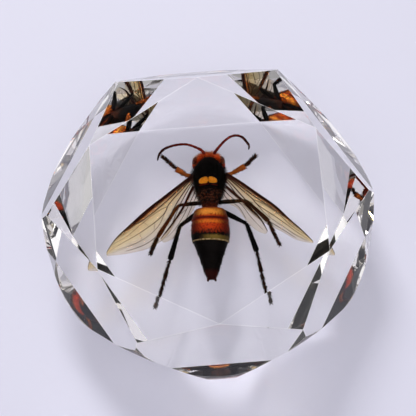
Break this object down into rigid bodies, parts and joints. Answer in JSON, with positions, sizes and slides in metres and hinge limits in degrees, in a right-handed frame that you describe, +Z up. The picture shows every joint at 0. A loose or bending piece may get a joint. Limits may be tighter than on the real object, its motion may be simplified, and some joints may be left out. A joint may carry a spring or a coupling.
{
  "type": "insect paperweight",
  "caption": "A whole hornet with spread wings sealed in a clear, round-sided resin paperweight with a faceted rim and a flat six-cornered top and base",
  "frame": {"origin": "centre of the flat base", "axes": "+Z up out of the base, +Y towards the insect's head, +X to its right seen from above"},
  "size_m": [0.076, 0.076, 0.0275],
  "materials": {
    "clear_resin": "polished",
    "insect": "satin"
  },
  "bodies": {
    "root": {"resin_upper_half": "clear_resin", "resin_lower_half": "clear_resin", "hornet": "insect"}
  },
  "joints": []
}
